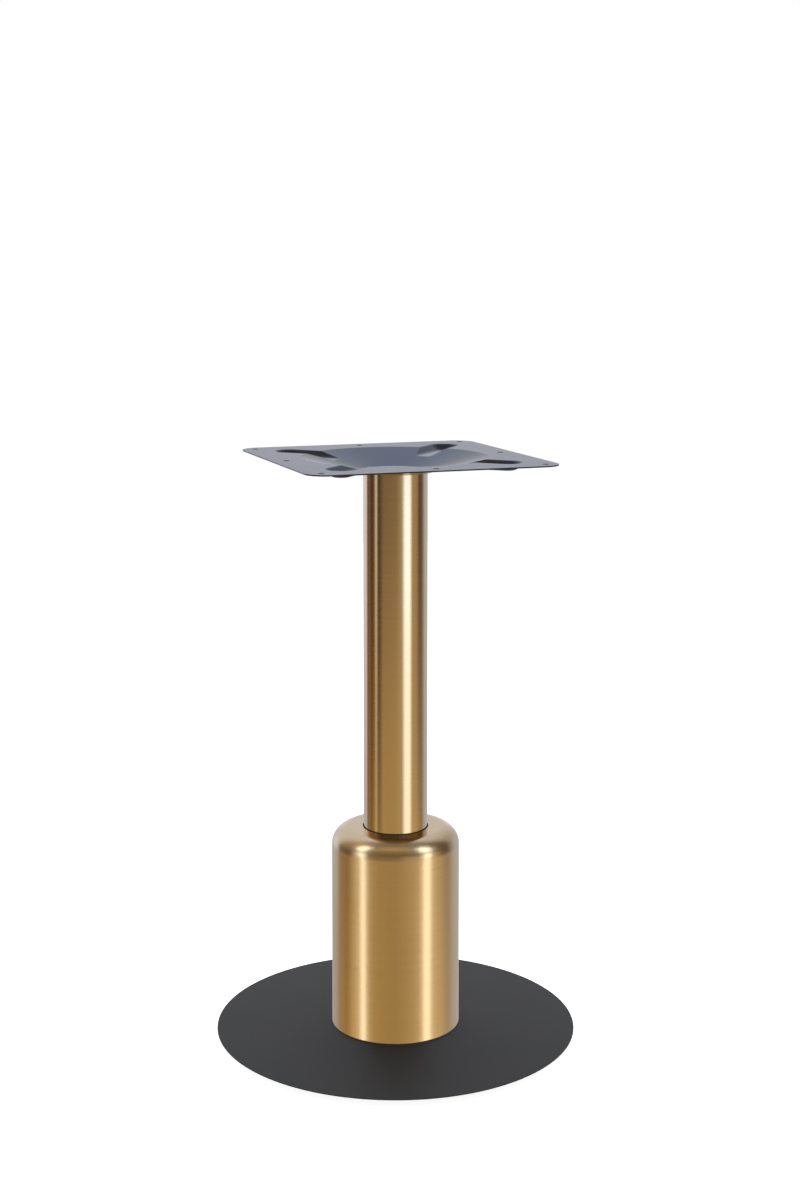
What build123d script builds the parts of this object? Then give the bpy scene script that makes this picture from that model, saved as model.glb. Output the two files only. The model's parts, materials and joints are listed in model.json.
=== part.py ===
"""Pedestal table base: flat round foot, brass-look column in a wide sleeve, pressed steel top plate.

Millimetres, +Z up. The origin is on the floor, on the column's axis.
The top plate's sides lie along X and Y.
"""

import os
from math import asin, atan2, cos, degrees, hypot, radians, sin

from build123d import *

# Heights, measured upwards from the floor
glide_height = 4.0
base_thickness = 8.0
table_rise = 720.0  # from the foot's upper face to the top plate's upper face

# Round foot
base_diameter = 450.0
base_edge_land = 1.0  # upright rim that is left above the undercut
base_undercut_width = 20.0
base_edge_round = 0.4

# Glides pushed into the foot from below
glide_count = 6
glide_inset = 40.0  # from the foot's rim to the glides' centres
glide_radius = 14.0
glide_edge_round = 1.2
glide_spigot_radius = 4.0
glide_spigot_length = 4.5
glide_hole_spare = 0.8  # depth that the spigot leaves free

# Column
column_diameter = 80.0
column_wall = 2.0
column_foot_thickness = 12.0
column_head_thickness = 10.0

# Sleeve that drops over the column and stands on the locating ring
sleeve_diameter = 160.0
sleeve_gap = 3.5  # dark gap that the locating ring's flange leaves under the hem
sleeve_height = 251.0
sleeve_wall = 1.5
sleeve_shoulder_radius = 22.0
sleeve_hem_round = 0.5

# Grommet that lines the sleeve's neck
grommet_wall = 0.8
grommet_rise = 0.3  # above the sleeve
grommet_collar_width = 3.0
grommet_collar_height = 2.0

# Ring that carries and centres the sleeve's lower end
locator_height = 8.0  # above its flange
locator_flange_inset = 1.5  # from the sleeve's outside
locator_chamfer = 1.5

# Pressed top plate
sheet = 1.6
plate_side = 316.0
plate_corner_radius = 26.0
dish_depth = 17.0
seat_radius = 43.0  # flat of the dish that stands on the column
dish_rim_radius = 116.0
dish_floor_bend = 12.0
dish_rim_bend = 10.0
trough_count = 4
trough_depth = 8.0
trough_floor_half_width = 7.0
trough_rim_half_width = 20.0
trough_floor_bend = 8.0
trough_rim_bend = 4.0
trough_reach = 148.0  # from the axis to the centre of the rounded outer end

# Tabletop screw holes, at the corners and the middle of each side
table_hole_spacing = 280.0
table_hole_diameter = 8.0
side_hole_count = 4

# Countersunk screws with a hexagon socket
screw_circle_radius = 25.0
screw_count = 4
countersink_angle = 90.0
base_screw_diameter = 8.0
base_screw_head_diameter = 16.0
base_screw_length = 18.0
base_screw_socket = 5.0
plate_screw_diameter = 6.0
plate_screw_head_diameter = 12.0
plate_screw_length = 11.0
plate_screw_socket = 4.0
socket_depth_share = 0.6  # of the head's depth

# Clearances, all on the radius
push_fit = 0.05
weld_fit = 0.1
screw_fit = 0.1
slip_fit = 0.3

# Levels and radii that follow from the sizes above
base_bottom = glide_height
base_top = base_bottom + base_thickness
plate_top = base_top + table_rise
plate_bottom = plate_top - sheet
seat_top = plate_top - dish_depth
column_top = seat_top - sheet
sleeve_bottom = base_top + sleeve_gap
sleeve_top = sleeve_bottom + sleeve_height
base_radius = base_diameter / 2
glide_ring_radius = base_radius - glide_inset
column_radius = column_diameter / 2
column_bore_radius = column_radius - column_wall
sleeve_radius = sleeve_diameter / 2
sleeve_bore_radius = sleeve_radius - sleeve_wall
grommet_bore_radius = column_radius + slip_fit
grommet_neck_radius = grommet_bore_radius + grommet_wall
sleeve_hole_radius = grommet_neck_radius + push_fit


def pressing_section(plane, floor_half, rim_half, depth, floor_bend, rim_bend, skin, cap):
    """Half section of a pressing, on the plane's X (outwards) and Y (up from the sheet's upper face).

    skin is the distance below the sheet's upper face, measured square to it, and cap the height
    of the flat that closes the section. Two arcs and their common tangent make the curve.
    """
    run = rim_half - floor_half
    bends = floor_bend + rim_bend
    rise = depth - bends
    wall_angle = degrees(atan2(rise, run) + asin(bends / hypot(run, rise)))
    with BuildSketch(plane) as section:
        with BuildLine():
            floor_arc = CenterArc((floor_half, floor_bend - depth), floor_bend + skin, -90, wall_angle)
            rim_arc = CenterArc((rim_half, -rim_bend), rim_bend - skin, 90, wall_angle)
            Line(floor_arc @ 1, rim_arc @ 1)
            Polyline(rim_arc @ 0, (rim_half, cap), (0, cap), (0, -depth - skin), floor_arc @ 0)
        make_face()
    return section.sketch


def press_dish(skin, cap, mode):
    """Round dish on the axis: its cavity, or its outside with the sheet's thickness as skin."""
    plane = Plane(origin=(0, 0, plate_top), x_dir=(1, 0, 0), z_dir=(0, -1, 0))
    section = pressing_section(
        plane, seat_radius, dish_rim_radius, dish_depth, dish_floor_bend, dish_rim_bend, skin, cap
    )
    revolve(section, axis=Axis.Z, mode=mode)


def press_trough(angle, skin, cap, mode):
    """Straight trough from the dish towards a corner, with a rounded outer end."""
    outward = Vector(cos(radians(angle)), sin(radians(angle)), 0)
    across = Vector(-outward.Y, outward.X, 0)
    end_centre = outward * trough_reach + Vector(0, 0, plate_top)
    plane = Plane(origin=end_centre, x_dir=across, z_dir=outward)
    half = pressing_section(
        plane,
        trough_floor_half_width,
        trough_rim_half_width,
        trough_depth,
        trough_floor_bend,
        trough_rim_bend,
        skin,
        cap,
    )
    other_half = half.mirror(Plane(origin=end_centre, z_dir=across))
    inward = seat_radius - trough_reach
    extrude(half, amount=inward, mode=mode)
    extrude(other_half, amount=inward, dir=outward, mode=mode)
    revolve(half, axis=Axis(end_centre, (0, 0, -1)), revolution_arc=180, mode=mode)


def countersunk_screw(diameter, head_diameter, length, socket):
    """Flush screw that points down, with the top of its head at the origin."""
    head_depth = (head_diameter - diameter) / 2
    with BuildPart() as screw:
        Cone(
            diameter / 2, head_diameter / 2, head_depth,
            align=(Align.CENTER, Align.CENTER, Align.MAX),
        )
        Cylinder(diameter / 2, length, align=(Align.CENTER, Align.CENTER, Align.MAX))
        with BuildSketch():
            RegularPolygon(socket / 2, 6, major_radius=False)
        extrude(amount=-head_depth * socket_depth_share, mode=Mode.SUBTRACT)
    return screw.part


os.makedirs("parts", exist_ok=True)

# Round foot: a steel disc undercut all round, so that only a thin rim shows
with BuildPart() as base_plate:
    with BuildSketch(Plane.XZ):
        with BuildLine():
            Polyline(
                (0, base_bottom),
                (base_radius - base_undercut_width, base_bottom),
                (base_radius, base_top - base_edge_land),
                (base_radius, base_top),
                (0, base_top),
                close=True,
            )
        make_face()
    revolve(axis=Axis.Z)
    fillet(base_plate.edges().group_by(Axis.Z)[-1], radius=base_edge_round)
    with Locations(Plane(origin=(0, 0, base_bottom), z_dir=(0, 0, -1))):
        with PolarLocations(screw_circle_radius, screw_count):
            CounterSinkHole(
                base_screw_diameter / 2 + screw_fit,
                base_screw_head_diameter / 2 + screw_fit,
                counter_sink_angle=countersink_angle,
            )
        with PolarLocations(glide_ring_radius, glide_count):
            Hole(glide_spigot_radius + push_fit, depth=glide_spigot_length + glide_hole_spare)
base_plate.part.label = "base_plate"
export_step(base_plate.part, "parts/base_plate.step")

# Glides: nylon pads with a spigot
for index, place in enumerate(PolarLocations(glide_ring_radius, glide_count)):
    with BuildPart() as glide:
        with Locations(place):
            Cylinder(glide_radius, glide_height, align=(Align.CENTER, Align.CENTER, Align.MIN))
        fillet(glide.edges().group_by(Axis.Z)[0], radius=glide_edge_round)
        with Locations(place):
            Cylinder(
                glide_spigot_radius,
                glide_height + glide_spigot_length,
                align=(Align.CENTER, Align.CENTER, Align.MIN),
            )
    glide_name = f"glide_{index + 1}"
    glide.part.label = glide_name
    export_step(glide.part, f"parts/{glide_name}.step")

# Column: a round tube with a disc welded into each end
with BuildPart() as column_tube:
    with BuildSketch(Plane.XY.offset(base_top)):
        Circle(column_radius)
        Circle(column_bore_radius, mode=Mode.SUBTRACT)
    extrude(amount=column_top - base_top)
column_tube.part.label = "column_tube"
export_step(column_tube.part, "parts/column_tube.step")

with BuildPart() as column_foot:
    with BuildSketch(Plane.XY.offset(base_top)):
        Circle(column_bore_radius - weld_fit)
    extrude(amount=column_foot_thickness)
    with PolarLocations(screw_circle_radius, screw_count):
        Hole(base_screw_diameter / 2 + push_fit)
column_foot.part.label = "column_foot"
export_step(column_foot.part, "parts/column_foot.step")

with BuildPart() as column_head:
    with BuildSketch(Plane.XY.offset(column_top)):
        Circle(column_bore_radius - weld_fit)
    extrude(amount=-column_head_thickness)
    with Locations((0, 0, column_top)):
        with PolarLocations(screw_circle_radius, screw_count):
            CounterSinkHole(
                plate_screw_diameter / 2 + push_fit,
                plate_screw_head_diameter / 2 + screw_fit - sheet,
                counter_sink_angle=countersink_angle,
            )
column_head.part.label = "column_head"
export_step(column_head.part, "parts/column_head.step")

# Sleeve: one spun shell, with a rounded shoulder and a flat neck
with BuildPart() as sleeve:
    with BuildSketch(Plane.XZ):
        with BuildLine():
            shoulder_level = sleeve_top - sleeve_shoulder_radius
            shoulder_centre = (sleeve_radius - sleeve_shoulder_radius, shoulder_level)
            outer_arc = CenterArc(shoulder_centre, sleeve_shoulder_radius, 0, 90)
            inner_arc = CenterArc(shoulder_centre, sleeve_shoulder_radius - sleeve_wall, 0, 90)
            Polyline(
                outer_arc @ 0,
                (sleeve_radius, sleeve_bottom),
                (sleeve_bore_radius, sleeve_bottom),
                inner_arc @ 0,
            )
            Polyline(
                outer_arc @ 1,
                (sleeve_hole_radius, sleeve_top),
                (sleeve_hole_radius, sleeve_top - sleeve_wall),
                inner_arc @ 1,
            )
        make_face()
    revolve(axis=Axis.Z)
    hem = sleeve.edges().group_by(Axis.Z)[0].sort_by(SortBy.RADIUS)[-1]
    fillet(hem, radius=sleeve_hem_round)
sleeve.part.label = "sleeve"
export_step(sleeve.part, "parts/sleeve.step")

# Grommet: lines the neck and holds it off the column, with a collar under the neck's sheet
with BuildPart() as neck_grommet:
    with BuildSketch(Plane.XZ):
        collar_radius = sleeve_hole_radius + grommet_collar_width
        neck_bottom = sleeve_top - sleeve_wall
        with BuildLine():
            Polyline(
                (grommet_bore_radius, neck_bottom - grommet_collar_height),
                (collar_radius, neck_bottom - grommet_collar_height),
                (collar_radius, neck_bottom),
                (grommet_neck_radius, neck_bottom),
                (grommet_neck_radius, sleeve_top + grommet_rise),
                (grommet_bore_radius, sleeve_top + grommet_rise),
                close=True,
            )
        make_face()
    revolve(axis=Axis.Z)
neck_grommet.part.label = "neck_grommet"
export_step(neck_grommet.part, "parts/neck_grommet.step")

# Locating ring: a flange on the foot that the sleeve stands on, and a step inside the sleeve
with BuildPart() as locating_ring:
    with BuildSketch(Plane.XY.offset(base_top)):
        Circle(sleeve_radius - locator_flange_inset)
    extrude(amount=sleeve_gap)
    with BuildSketch(Plane.XY.offset(sleeve_bottom)):
        Circle(sleeve_bore_radius - slip_fit)
    extrude(amount=locator_height)
    Hole(column_radius + slip_fit)
    rim = locating_ring.edges().group_by(Axis.Z)[-1].sort_by(SortBy.RADIUS)[-1]
    chamfer(rim, length=locator_chamfer)
locating_ring.part.label = "locating_ring"
export_step(locating_ring.part, "parts/locating_ring.step")

# Top plate: one sheet pressed into a round dish and four troughs that run out to the corners
with BuildPart() as top_plate:
    trough_angles = [45 + 360 / trough_count * turn for turn in range(trough_count)]
    with BuildSketch(Plane.XY.offset(plate_bottom)):
        RectangleRounded(plate_side, plate_side, plate_corner_radius)
    extrude(amount=sheet)
    press_dish(sheet, -sheet / 2, Mode.ADD)
    for trough_angle in trough_angles:
        press_trough(trough_angle, sheet, -sheet / 2, Mode.ADD)
    press_dish(0, sheet, Mode.SUBTRACT)
    for trough_angle in trough_angles:
        press_trough(trough_angle, 0, sheet, Mode.SUBTRACT)
    with Locations((0, 0, plate_top)):
        with GridLocations(table_hole_spacing, table_hole_spacing, 2, 2):
            Hole(table_hole_diameter / 2, depth=sheet)
        with PolarLocations(table_hole_spacing / 2, side_hole_count):
            Hole(table_hole_diameter / 2, depth=sheet)
    with Locations((0, 0, seat_top)):
        with PolarLocations(screw_circle_radius, screw_count):
            CounterSinkHole(
                plate_screw_diameter / 2 + screw_fit,
                plate_screw_head_diameter / 2 + screw_fit,
                depth=sheet,
                counter_sink_angle=countersink_angle,
            )
top_plate.part.label = "top_plate"
export_step(top_plate.part, "parts/top_plate.step")

# Screws: one set through the foot from below, one set through the plate's seat from above
base_screw = countersunk_screw(
    base_screw_diameter, base_screw_head_diameter, base_screw_length, base_screw_socket
)
with BuildPart() as base_screws:
    with Locations(Plane(origin=(0, 0, base_bottom), z_dir=(0, 0, -1))):
        with PolarLocations(screw_circle_radius, screw_count):
            add(base_screw)
base_screws.part.label = "base_screws"
export_step(base_screws.part, "parts/base_screws.step")

plate_screw = countersunk_screw(
    plate_screw_diameter, plate_screw_head_diameter, plate_screw_length, plate_screw_socket
)
with BuildPart() as plate_screws:
    with Locations((0, 0, seat_top)):
        with PolarLocations(screw_circle_radius, screw_count):
            add(plate_screw)
plate_screws.part.label = "plate_screws"
export_step(plate_screws.part, "parts/plate_screws.step")
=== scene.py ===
"""Looks of the pedestal table base: finishes, studio and camera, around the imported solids."""

import json
import math
from typing import NamedTuple

import bpy
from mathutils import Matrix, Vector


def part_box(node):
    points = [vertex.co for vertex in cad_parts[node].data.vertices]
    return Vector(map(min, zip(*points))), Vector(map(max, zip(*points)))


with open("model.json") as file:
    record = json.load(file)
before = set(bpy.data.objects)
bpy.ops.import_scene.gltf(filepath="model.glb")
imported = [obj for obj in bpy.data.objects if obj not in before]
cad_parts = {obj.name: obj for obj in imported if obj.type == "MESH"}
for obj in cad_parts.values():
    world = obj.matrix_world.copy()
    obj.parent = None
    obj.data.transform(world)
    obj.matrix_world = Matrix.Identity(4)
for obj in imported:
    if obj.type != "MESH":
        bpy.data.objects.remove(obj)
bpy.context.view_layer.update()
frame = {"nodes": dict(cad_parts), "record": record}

# Camera, fitted to the photograph: its frame and lens in pixels, its place in degrees and metres
PHOTO_WIDTH = 800
PHOTO_HEIGHT = 1200
SENSOR_MM = 36.0
FOCAL_PIXELS = 1899.1
LENS_AXIS_X = 395.5
LENS_AXIS_Y = 429.8
CAMERA_AZIMUTH = -19.7
CAMERA_PITCH = 5.5
CAMERA_DISTANCE = 2.327
CAMERA_ABOVE_FOOT = 0.977

# Floor, the grey that matt surfaces find all around, and the soft lamp above and behind, in metres
FLOOR_RADIUS = 4.0
FLOOR_SIDES = 72
FLOOR_COLOUR = (0.8, 0.8, 0.8, 1.0)
FLOOR_GLOW = 0.9
ROOM_GREY = (0.5, 0.5, 0.5)
WHITE = (1.0, 1.0, 1.0)
TOP_LAMP_HEIGHT = 2.4
TOP_LAMP_BEHIND = 0.7
TOP_LAMP_SIZE = 1.7
TOP_LAMP_WATTS = 42.0

# Tones that shiny surfaces find around them, by azimuth from the camera's side (right is positive)

# Towards the floor, where the sleeve's side looks
LOW_ROOM = (
    (-180, (0.40, 0.43, 0.45)),  # silver behind, which edges the brass
    (-165, (0.36, 0.40, 0.42)),
    (-132, (0.39, 0.385, 0.38)),
    (-122, (0.37, 0.31, 0.22)),
    (-110, (0.50, 0.34, 0.16)),
    (-98, (0.33, 0.23, 0.07)),  # darker line beside the left edge
    (-88, (0.72, 0.57, 0.28)),  # bright left side
    (-72, (0.64, 0.52, 0.30)),
    (-50, (0.54, 0.44, 0.22)),
    (-36, (0.48, 0.38, 0.17)),
    (0, (0.41, 0.32, 0.15)),  # dimmer front
    (20, (0.43, 0.34, 0.17)),
    (36, (0.56, 0.47, 0.28)),
    (76, (0.70, 0.62, 0.44)),  # bright right side
    (86, (0.76, 0.68, 0.48)),
    (98, (0.68, 0.58, 0.42)),
    (112, (0.46, 0.40, 0.32)),
    (124, (0.50, 0.49, 0.50)),  # silver behind
    (180, (0.40, 0.43, 0.45)),
)

# A little higher, where the column's lower end looks
FOOT_ROOM = (
    (-180, (0.46, 0.50, 0.53)),  # silver behind
    (-158, (0.44, 0.49, 0.52)),
    (-144, (0.54, 0.58, 0.68)),
    (-126, (0.54, 0.58, 0.68)),
    (-119, (0.17, 0.13, 0.11)),  # brown panel
    (-106, (0.27, 0.19, 0.13)),
    (-94, (0.16, 0.08, 0.03)),
    (-81, (0.20, 0.12, 0.07)),
    (-75, (0.46, 0.39, 0.30)),  # thin light panel
    (-71, (0.46, 0.39, 0.30)),
    (-66, (0.09, 0.07, 0.03)),  # dark panel
    (-57, (0.13, 0.10, 0.06)),
    (-46, (0.52, 0.40, 0.25)),  # golden front
    (-5, (0.56, 0.45, 0.27)),
    (14, (0.62, 0.53, 0.34)),
    (28, (0.46, 0.38, 0.25)),
    (68, (0.48, 0.40, 0.26)),
    (80, (0.40, 0.32, 0.22)),
    (92, (0.28, 0.22, 0.16)),  # brown panel
    (104, (0.25, 0.20, 0.16)),
    (114, (0.34, 0.31, 0.28)),
    (128, (0.50, 0.54, 0.64)),  # silver behind
    (180, (0.46, 0.50, 0.53)),
)

# Level with the eye, where the column's upper end looks
LEVEL_ROOM = (
    (-180, (0.74, 0.75, 0.84)),  # silver behind
    (-168, (0.74, 0.75, 0.84)),
    (-157, (0.55, 0.60, 0.66)),
    (-144, (0.76, 0.86, 1.10)),
    (-126, (0.76, 0.86, 1.10)),
    (-119, (0.11, 0.09, 0.08)),  # dark panel
    (-106, (0.16, 0.13, 0.13)),
    (-94, (0.04, 0.02, 0.01)),
    (-81, (0.12, 0.10, 0.09)),
    (-75, (0.80, 0.79, 0.90)),  # thin light panel
    (-71, (0.80, 0.79, 0.90)),
    (-66, (0.03, 0.03, 0.03)),  # dark panel
    (-57, (0.06, 0.06, 0.07)),
    (-44, (0.15, 0.12, 0.11)),  # dim front
    (6, (0.20, 0.165, 0.15)),
    (24, (0.46, 0.41, 0.34)),  # lighter right side
    (68, (0.38, 0.33, 0.24)),
    (82, (0.36, 0.29, 0.20)),
    (92, (0.09, 0.06, 0.06)),  # dark panel
    (104, (0.08, 0.06, 0.07)),
    (114, (0.22, 0.22, 0.23)),
    (128, (0.48, 0.55, 0.72)),  # silver behind
    (142, (0.52, 0.56, 0.64)),
    (157, (0.46, 0.51, 0.56)),
    (168, (0.74, 0.75, 0.84)),
    (180, (0.74, 0.75, 0.84)),
)

# Above the eye, where the sleeve's flat top and the start of its shoulder look
MIDDLE_ROOM = (
    (-180, (0.63, 0.66, 0.70)),  # silver behind
    (-128, (0.66, 0.79, 0.99)),
    (-112, (0.34, 0.27, 0.17)),  # brown left side
    (-80, (0.17, 0.135, 0.10)),
    (-50, (0.05, 0.045, 0.045)),  # dark front
    (50, (0.045, 0.04, 0.04)),
    (80, (0.13, 0.09, 0.05)),  # brown right side
    (110, (0.09, 0.06, 0.04)),
    (128, (0.41, 0.43, 0.49)),  # silver behind
    (180, (0.63, 0.66, 0.70)),
)

# High up, where the rest of the shoulder looks
HIGH_ROOM = (
    (-180, (0.74, 0.80, 1.15)),  # bluish silver behind
    (-125, (0.60, 0.68, 0.88)),
    (-108, (0.40, 0.30, 0.17)),  # brown left side
    (-78, (0.32, 0.23, 0.12)),
    (-52, (0.15, 0.12, 0.08)),  # dark front
    (46, (0.15, 0.12, 0.08)),
    (76, (0.14, 0.09, 0.05)),  # brown right side
    (108, (0.11, 0.07, 0.04)),
    (125, (0.48, 0.53, 0.68)),  # bluish silver behind
    (180, (0.74, 0.80, 1.15)),
)
TOP_TONE = (0.24, 0.23, 0.24)

# Rings of tones above the lowest, with the elevations between which each takes over
RINGS = (
    (FOOT_ROOM, -19.5, -17.5),
    (LEVEL_ROOM, -16.0, -8.0),
    (MIDDLE_ROOM, 8.0, 14.0),
    (HIGH_ROOM, 30.0, 44.0),
)
HIGH_TO_TOP = (54.0, 70.0)


class Strip(NamedTuple):
    """Lamp that lights one piece: angles round the axis in degrees, and places in metres."""

    name: str
    node: str
    azimuth: float
    half_width: float
    distance: float
    lowest: float
    highest: float
    radiance: float
    colour: tuple


COLD = (0.38, 0.57, 1.0)
MILD = (0.42, 0.55, 0.8)
PALE = (0.54, 0.7, 1.0)
CREAM = (0.66, 0.78, 0.95)
COOL = (0.72, 0.82, 1.0)
GOLD = (1.0, 0.78, 0.38)
BLUE = (0.1, 0.35, 1.0)
FAR = 6.0
NEAR = 1.5
WATTS = 4.0  # that a square metre of lamp needs for a radiance of 1

# The column's wide lamps soften the edges of the bright line that the narrow ones draw. The sleeve's
# fill lamps are weak, because its flat top mirrors their heights in views from the side.
STRIPS = (
    Strip("column_low", "column_tube", 43.0, 11.0, FAR, -2.5, -0.6, 0.8, MILD),
    Strip("column_low_wide", "column_tube", 42.5, 17.0, FAR, -2.5, -0.6, 0.8, MILD),
    Strip("column_high", "column_tube", 43.0, 11.0, FAR, -0.6, 0.3, 1.3, COLD),
    Strip("column_high_wide", "column_tube", 42.5, 17.0, FAR, -0.6, 0.3, 1.15, COLD),
    Strip("sleeve_right_low", "sleeve", 57.0, 7.0, NEAR, -1.1, 0.3, 1.4, COOL),
    Strip("sleeve_right_turn", "sleeve", 57.5, 8.0, NEAR, 0.26, 0.58, 2.8, COOL),
    Strip("sleeve_right_fill", "sleeve", 59.5, 9.5, NEAR, 0.58, 0.93, 0.35, COOL),
    Strip("sleeve_right_high", "sleeve", 62.0, 11.5, NEAR, 0.93, 2.3, 3.2, PALE),
    Strip("sleeve_left_low", "sleeve", -59.0, 4.5, NEAR, -1.1, 0.3, 1.9, COOL),
    Strip("sleeve_left_turn", "sleeve", -61.0, 6.0, NEAR, 0.26, 0.58, 3.2, COOL),
    Strip("sleeve_left_fill", "sleeve", -65.0, 7.5, NEAR, 0.58, 0.93, 0.35, COOL),
    Strip("sleeve_left_high", "sleeve", -70.0, 9.0, NEAR, 0.93, 2.3, 3.2, CREAM),
    Strip("sleeve_front_low", "sleeve", -6.0, 40.0, NEAR, 0.3, 2.0, 0.08, GOLD),
    Strip("sleeve_front_high", "sleeve", -4.0, 42.0, NEAR, 2.0, 5.0, 0.27, GOLD),
    Strip("plate_back", "top_plate", 180.0, 30.0, NEAR, 1.3, 2.3, 0.2, BLUE),
)
STRIP_BLOCKERS = ["column_tube"]

# The photograph's brass and foot mirror none of these pieces, so they stay out of reflections
UNMIRRORED = ["top_plate", "plate_screws", "sleeve", "base_plate", "base_screws", "locating_ring"]
UNMIRRORED += ["glide_%d" % number for number in range(1, 7)]

# Noise: its roughness, and the range that most of its values keep to
NOISE_ROUGHNESS = 0.55
NOISE_LOW = 0.3
NOISE_HIGH = 0.7

# Sockets of the mix node that hold colours, by number because their names repeat
MIX_FACTOR = 0
MIX_FIRST = 6
MIX_SECOND = 7
MIX_RESULT = 2


class Graph:
    """Short way to add and join the nodes of a shader tree."""

    def __init__(self, tree):
        self.tree = tree
        tree.nodes.clear()

    def add(self, kind, inputs=None, **settings):
        """New node with settings, and inputs by name or number, each a value or another output."""
        node = self.tree.nodes.new(kind)
        for name, value in settings.items():
            setattr(node, name, value)
        for name, value in (inputs or {}).items():
            socket = node.inputs[name]
            if isinstance(value, bpy.types.NodeSocket):
                self.tree.links.new(value, socket)
            else:
                socket.default_value = value
        return node

    def math(self, operation, *values):
        node = self.add("ShaderNodeMath", dict(enumerate(values)), operation=operation)
        return node.outputs[0]

    def remap(self, value, low, high, to_low, to_high):
        node = self.add(
            "ShaderNodeMapRange",
            {"Value": value, "From Min": low, "From Max": high, "To Min": to_low, "To Max": to_high},
        )
        return node.outputs["Result"]

    def vary(self, noise, middle, spread, low=NOISE_LOW, high=NOISE_HIGH):
        """Value that follows a noise, within a spread about the middle."""
        return self.remap(noise, low, high, middle - spread, middle + spread)

    def noise(self, grains, detail=3.0):
        """Noise with this many grains in a metre along X, Y and Z."""
        place = self.add("ShaderNodeTexCoord").outputs["Object"]
        stretched = self.add("ShaderNodeMapping", {"Vector": place, "Scale": grains})
        node = self.add(
            "ShaderNodeTexNoise",
            {
                "Vector": stretched.outputs["Vector"],
                "Scale": 1.0,
                "Detail": detail,
                "Roughness": NOISE_ROUGHNESS,
            },
        )
        return node.outputs["Fac"]

    def blend_colours(self, factor, first, second):
        inputs = {MIX_FACTOR: factor}
        for number, colour in ((MIX_FIRST, first), (MIX_SECOND, second)):
            is_output = isinstance(colour, bpy.types.NodeSocket)
            inputs[number] = colour if is_output else (*colour, 1.0)
        return self.add("ShaderNodeMix", inputs, data_type="RGBA").outputs[MIX_RESULT]

    def bump(self, height, strength, distance):
        inputs = {"Height": height, "Strength": strength, "Distance": distance}
        return self.add("ShaderNodeBump", inputs).outputs["Normal"]

    def surface(self, inputs):
        """Principled shader with these inputs, as the material's surface."""
        shader = self.add("ShaderNodeBsdfPrincipled", inputs)
        self.add("ShaderNodeOutputMaterial", {"Surface": shader.outputs["BSDF"]})


def new_material(name):
    material = bpy.data.materials.new(name)
    material.use_nodes = True
    return material, Graph(material.node_tree)


# Finishes: grains in a metre along X, Y and Z, bump strengths and depths in metres

BRASS_LIGHT = (0.86, 0.61, 0.31)
BRASS_DEEP = (0.73, 0.495, 0.225)
FINE_LINES = (9.0, 9.0, 2600.0)
BROAD_LINES = (5.0, 5.0, 320.0)
FINE_SHARE = 0.6
LINES_LOW = 0.25
LINES_HIGH = 0.75
LINE_BUMP = 0.1
LINE_DEPTH = 0.0002
QUARTER_TURN = 0.25

# The sleeve's brass turns smoother over a short run, up to the edge of its flat top
ABOVE_THE_PART = 1.0
SMOOTH_RUN = 0.004
SMOOTH_BELOW_TOP = 0.0045

CLOUD_GRAINS = (14.0, 14.0, 14.0)
PEEL_SPREAD = 0.04
PEEL_DEPTH = 0.0004

MOULD_GRAINS = (900.0, 900.0, 900.0)
MOULD_SPREAD = 0.06
MOULD_BUMP = 0.15
MOULD_DEPTH = 0.0003

TURNING_GRAINS = (700.0, 700.0, 700.0)
TURNING_SPREAD = 0.08
TURNING_BUMP = 0.08
TURNING_DEPTH = 0.0002


def brushed_brass(
    name,
    roughness,
    spread,
    anisotropy,
    coat_roughness,
    smooth_from=ABOVE_THE_PART,
    smoothing=0.0,
):
    """Brass-tone metal with brush lines that run round the axis, smoother above the given height."""
    material, graph = new_material(name)
    fine = graph.noise(FINE_LINES, detail=4.0)
    broad = graph.math("MULTIPLY", graph.noise(BROAD_LINES), 1.0 - FINE_SHARE)
    lines = graph.math("MULTIPLY_ADD", fine, FINE_SHARE, broad)
    satin = graph.vary(lines, roughness, spread, LINES_LOW, LINES_HIGH)
    place = graph.add("ShaderNodeTexCoord").outputs["Object"]
    height = graph.add("ShaderNodeSeparateXYZ", {"Vector": place}).outputs["Z"]
    smoother = graph.remap(height, smooth_from, smooth_from + SMOOTH_RUN, 0.0, smoothing)
    tangent = graph.add("ShaderNodeTangent", direction_type="RADIAL", axis="Z")
    graph.surface(
        {
            "Base Color": graph.blend_colours(lines, BRASS_DEEP, BRASS_LIGHT),
            "Metallic": 1.0,
            "Roughness": graph.math("SUBTRACT", satin, smoother),
            "Anisotropic": anisotropy,
            "Anisotropic Rotation": QUARTER_TURN,
            "Tangent": tangent.outputs["Tangent"],
            "Coat Weight": 1.0,
            "Coat Roughness": coat_roughness,
            "Normal": graph.bump(fine, LINE_BUMP, LINE_DEPTH),
        }
    )
    return material


def powder_coat(name, dark, light, roughness, grain, bump, specular, tint):
    """Baked coat with a fine orange-peel grain."""
    material, graph = new_material(name)
    peel = graph.noise((grain, grain, grain), detail=2.0)
    graph.surface(
        {
            "Base Color": graph.blend_colours(graph.noise(CLOUD_GRAINS), dark, light),
            "Roughness": graph.vary(peel, roughness, PEEL_SPREAD),
            "Specular IOR Level": specular,
            "Specular Tint": tint,
            "Normal": graph.bump(peel, bump, PEEL_DEPTH),
        }
    )
    return material


def moulded(name, dark, light, roughness):
    """Nylon, rubber or plastic with a faint mould texture."""
    material, graph = new_material(name)
    skin = graph.noise(MOULD_GRAINS)
    graph.surface(
        {
            "Base Color": graph.blend_colours(skin, dark, light),
            "Roughness": graph.vary(skin, roughness, MOULD_SPREAD),
            "Normal": graph.bump(skin, MOULD_BUMP, MOULD_DEPTH),
        }
    )
    return material


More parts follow.
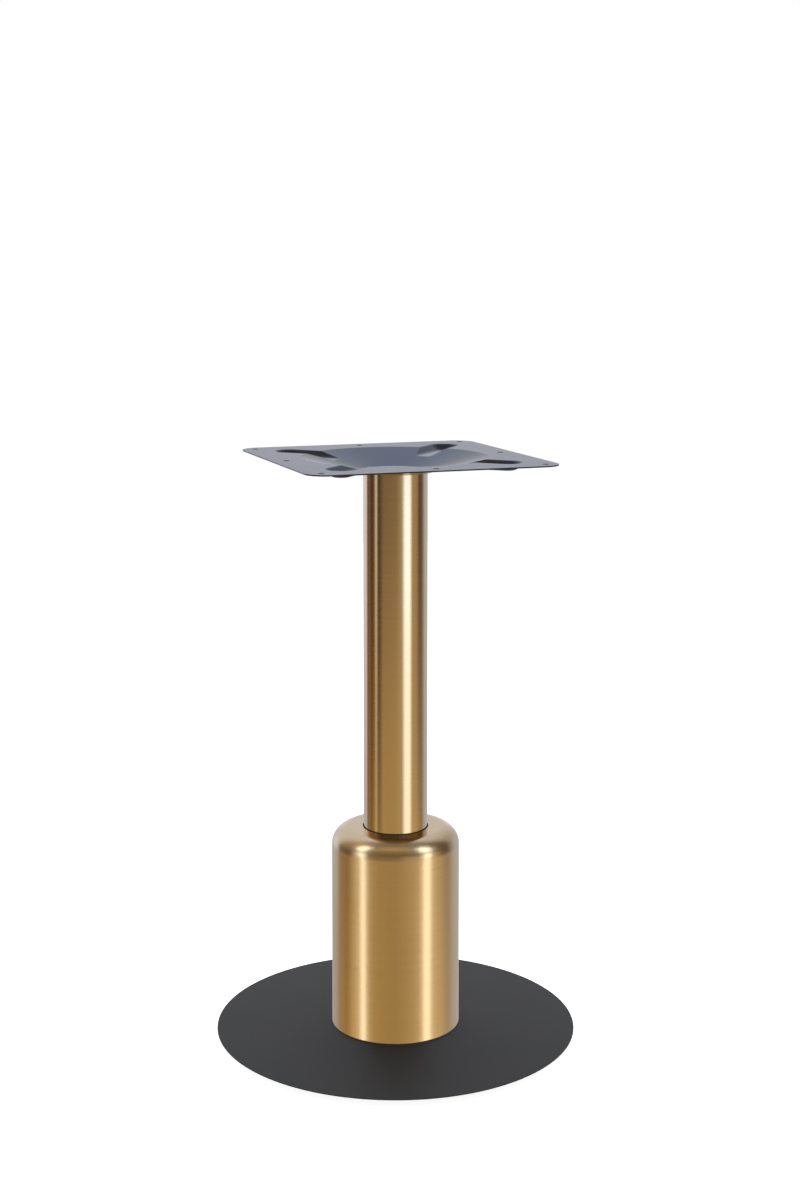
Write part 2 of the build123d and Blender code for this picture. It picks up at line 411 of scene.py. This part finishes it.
def turned_metal(name, dark, light, roughness):
    """Plain steel with the fine marks of turning and plating."""
    material, graph = new_material(name)
    marks = graph.noise(TURNING_GRAINS, detail=5.0)
    graph.surface(
        {
            "Base Color": graph.blend_colours(marks, dark, light),
            "Metallic": 1.0,
            "Roughness": graph.vary(marks, roughness, TURNING_SPREAD),
            "Normal": graph.bump(marks, TURNING_BUMP, TURNING_DEPTH),
        }
    )
    return material


FINISHES = {
    "foot_coat": powder_coat(
        "foot_coat",
        dark=(0.041, 0.0405, 0.0395),
        light=(0.047, 0.0465, 0.0455),
        roughness=0.55,
        grain=900.0,
        bump=0.12,
        specular=0.2,
        tint=(1.0, 1.0, 1.0, 1.0),
    ),
    "plate_coat": powder_coat(
        "plate_coat",
        dark=(0.014, 0.0145, 0.0185),
        light=(0.018, 0.0185, 0.0235),
        roughness=0.2,
        grain=700.0,
        bump=0.04,
        specular=0.5,
        tint=(0.93, 0.94, 1.0, 1.0),
    ),
    "column_brass": brushed_brass(
        "column_brass",
        roughness=0.18,
        spread=0.025,
        anisotropy=0.6,
        coat_roughness=0.1,
    ),
    "sleeve_brass": brushed_brass(
        "sleeve_brass",
        roughness=0.3,
        spread=0.04,
        anisotropy=0.5,
        coat_roughness=0.2,
        smooth_from=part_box("sleeve")[1].z - SMOOTH_BELOW_TOP,
        smoothing=0.13,
    ),
    "grommet_rubber": moulded(
        "grommet_rubber", dark=(0.014, 0.013, 0.012), light=(0.02, 0.019, 0.018), roughness=0.6
    ),
    "locator_plastic": moulded(
        "locator_plastic", dark=(0.045, 0.045, 0.047), light=(0.055, 0.055, 0.057), roughness=0.55
    ),
    "glide_nylon": moulded(
        "glide_nylon", dark=(0.026, 0.026, 0.027), light=(0.034, 0.034, 0.035), roughness=0.5
    ),
    "inner_steel": turned_metal(
        "inner_steel", dark=(0.4, 0.4, 0.41), light=(0.5, 0.5, 0.51), roughness=0.4
    ),
    "screw_zinc": turned_metal(
        "screw_zinc", dark=(0.55, 0.56, 0.58), light=(0.65, 0.66, 0.67), roughness=0.3
    ),
    "screw_black": turned_metal(
        "screw_black", dark=(0.03, 0.03, 0.032), light=(0.045, 0.045, 0.048), roughness=0.4
    ),
}

for subpart in frame["record"]["subparts"]:
    piece = frame["nodes"][subpart["node"]]
    for slot in piece.material_slots:
        slot.material = FINISHES[subpart["material_slot"]]


# Studio

def new_object(name, data):
    """Object in the scene with this mesh, lamp or camera."""
    thing = bpy.data.objects.new(name, data)
    bpy.context.scene.collection.objects.link(thing)
    return thing


def around_axis(azimuth, distance, height):
    """Point at an azimuth from the camera's side, a distance from the axis and a height."""
    turn = math.radians(CAMERA_AZIMUTH + azimuth)
    return (distance * math.sin(turn), -distance * math.cos(turn), height)


def facing_axis(azimuth, pitch=0.0):
    """Turn that faces the axis from an azimuth, and looks down by a pitch."""
    return (math.radians(90 - pitch), 0.0, math.radians(CAMERA_AZIMUTH + azimuth))


def make_floor():
    """Pale floor that reads as white, takes the shadow and lets views from below through."""
    mesh = bpy.data.meshes.new("studio_floor")
    turns = (math.radians(360 / FLOOR_SIDES * side) for side in range(FLOOR_SIDES))
    rim = [(FLOOR_RADIUS * math.cos(turn), FLOOR_RADIUS * math.sin(turn), 0.0) for turn in turns]
    mesh.from_pydata(rim, [], [list(range(FLOOR_SIDES))])
    floor = new_object("studio_floor", mesh)
    material, graph = new_material("studio_floor")
    seen = graph.add("ShaderNodeLightPath").outputs["Is Camera Ray"]
    below = graph.add("ShaderNodeNewGeometry").outputs["Backfacing"]
    paper = graph.add("ShaderNodeBsdfDiffuse", {"Color": FLOOR_COLOUR})
    strength = graph.math("MULTIPLY", seen, FLOOR_GLOW)
    glow = graph.add("ShaderNodeEmission", {"Strength": strength})
    both = graph.add("ShaderNodeAddShader", {0: paper.outputs[0], 1: glow.outputs[0]})
    clear = graph.add("ShaderNodeBsdfTransparent")
    sided = graph.add(
        "ShaderNodeMixShader", {"Fac": below, 1: both.outputs[0], 2: clear.outputs[0]}
    )
    graph.add("ShaderNodeOutputMaterial", {"Surface": sided.outputs[0]})
    mesh.materials.append(material)
    floor.visible_glossy = False


def tone_ramp(graph, factor, tones):
    """Colour ramp round the horizon, from a list of azimuths and tones."""
    ramp = graph.add("ShaderNodeValToRGB", {"Fac": factor})
    stops = ramp.color_ramp.elements
    while len(stops) < len(tones):
        stops.new(1.0)
    for stop, (azimuth, tone) in zip(stops, tones):
        stop.position = (azimuth + 180.0) / 360.0
        stop.color = (*tone, 1.0)
    return ramp.outputs["Color"]


def studio_tones(graph):
    """Tones by direction: one ramp round the horizon for each ring, blended by elevation."""
    coordinates = graph.add("ShaderNodeTexCoord")
    turned = graph.add(
        "ShaderNodeVectorRotate",
        {"Vector": coordinates.outputs["Generated"], "Angle": math.radians(-CAMERA_AZIMUTH)},
        rotation_type="Z_AXIS",
    )
    parts = graph.add("ShaderNodeSeparateXYZ", {"Vector": turned.outputs["Vector"]})
    elevation = graph.math("ARCSINE", parts.outputs["Z"])
    towards_camera = graph.math("MULTIPLY", parts.outputs["Y"], -1.0)
    azimuth = graph.math("ARCTAN2", parts.outputs["X"], towards_camera)
    factor = graph.remap(azimuth, -math.pi, math.pi, 0.0, 1.0)

    def share_above(low, high):
        return graph.remap(elevation, math.radians(low), math.radians(high), 0.0, 1.0)

    tones = tone_ramp(graph, factor, LOW_ROOM)
    for ring, low, high in RINGS:
        tones = graph.blend_colours(share_above(low, high), tones, tone_ramp(graph, factor, ring))
    return graph.blend_colours(share_above(*HIGH_TO_TOP), tones, TOP_TONE)


def make_room():
    """White room for the camera, plain grey light for matt surfaces, studio tones for shiny ones."""
    world = bpy.data.worlds.new("studio_room")
    bpy.context.scene.world = world
    world.use_nodes = True
    world.cycles.sampling_method = "NONE"
    graph = Graph(world.node_tree)
    rays = graph.add("ShaderNodeLightPath").outputs
    seen = graph.math("MAXIMUM", rays["Is Camera Ray"], rays["Is Transmission Ray"])
    colour = graph.blend_colours(rays["Is Glossy Ray"], ROOM_GREY, studio_tones(graph))
    colour = graph.blend_colours(seen, colour, WHITE)
    background = graph.add("ShaderNodeBackground", {"Color": colour})
    graph.add("ShaderNodeOutputWorld", {"Surface": background.outputs[0]})


def make_top_lamp():
    """Soft square lamp above and behind, which shiny surfaces don't find."""
    lamp = bpy.data.lights.new("top_lamp", "AREA")
    lamp.shape = "SQUARE"
    lamp.size = TOP_LAMP_SIZE
    lamp.energy = TOP_LAMP_WATTS
    holder = new_object("top_lamp", lamp)
    holder.location = around_axis(180.0, TOP_LAMP_BEHIND, TOP_LAMP_HEIGHT)
    holder.visible_glossy = False


def collection_of(name, nodes):
    """Collection of the part's pieces, which says what a lamp lights or what shades it."""
    collection = bpy.data.collections.new(name)
    for node in nodes:
        collection.objects.link(frame["nodes"][node])
    return collection


def make_strips():
    """Upright strips that each light one piece: bright lines on the brass, a cool tone in the dish."""
    blockers = collection_of("strip_blockers", STRIP_BLOCKERS)
    for strip in STRIPS:
        lamp = bpy.data.lights.new(strip.name, "AREA")
        lamp.shape = "RECTANGLE"
        lamp.size = 2 * strip.distance * math.tan(math.radians(strip.half_width))
        lamp.size_y = strip.highest - strip.lowest
        lamp.color = strip.colour
        lamp.energy = strip.radiance * WATTS * lamp.size * lamp.size_y
        holder = new_object(strip.name, lamp)
        middle = (strip.lowest + strip.highest) / 2
        holder.location = around_axis(strip.azimuth, strip.distance, middle)
        holder.rotation_euler = facing_axis(strip.azimuth)
        holder.visible_camera = False
        holder.light_linking.receiver_collection = collection_of(strip.name + "_lit", [strip.node])
        holder.light_linking.blocker_collection = blockers


def make_camera():
    """Camera at the photograph's place, with the lens shifted to its framing."""
    data = bpy.data.cameras.new("photo_camera")
    data.sensor_width = SENSOR_MM
    data.sensor_fit = "AUTO"
    data.lens = FOCAL_PIXELS * SENSOR_MM / PHOTO_HEIGHT
    data.shift_x = (PHOTO_WIDTH / 2 - LENS_AXIS_X) / PHOTO_HEIGHT
    data.shift_y = (LENS_AXIS_Y - PHOTO_HEIGHT / 2) / PHOTO_HEIGHT
    camera = new_object("photo_camera", data)
    foot_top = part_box("base_plate")[1].z
    camera.location = around_axis(0.0, CAMERA_DISTANCE, foot_top + CAMERA_ABOVE_FOOT)
    camera.rotation_euler = facing_axis(0.0, CAMERA_PITCH)
    bpy.context.scene.camera = camera


make_floor()
make_room()
make_top_lamp()
make_strips()
make_camera()
for node in UNMIRRORED:
    frame["nodes"][node].visible_glossy = False
bpy.context.scene.view_settings.view_transform = "Standard"
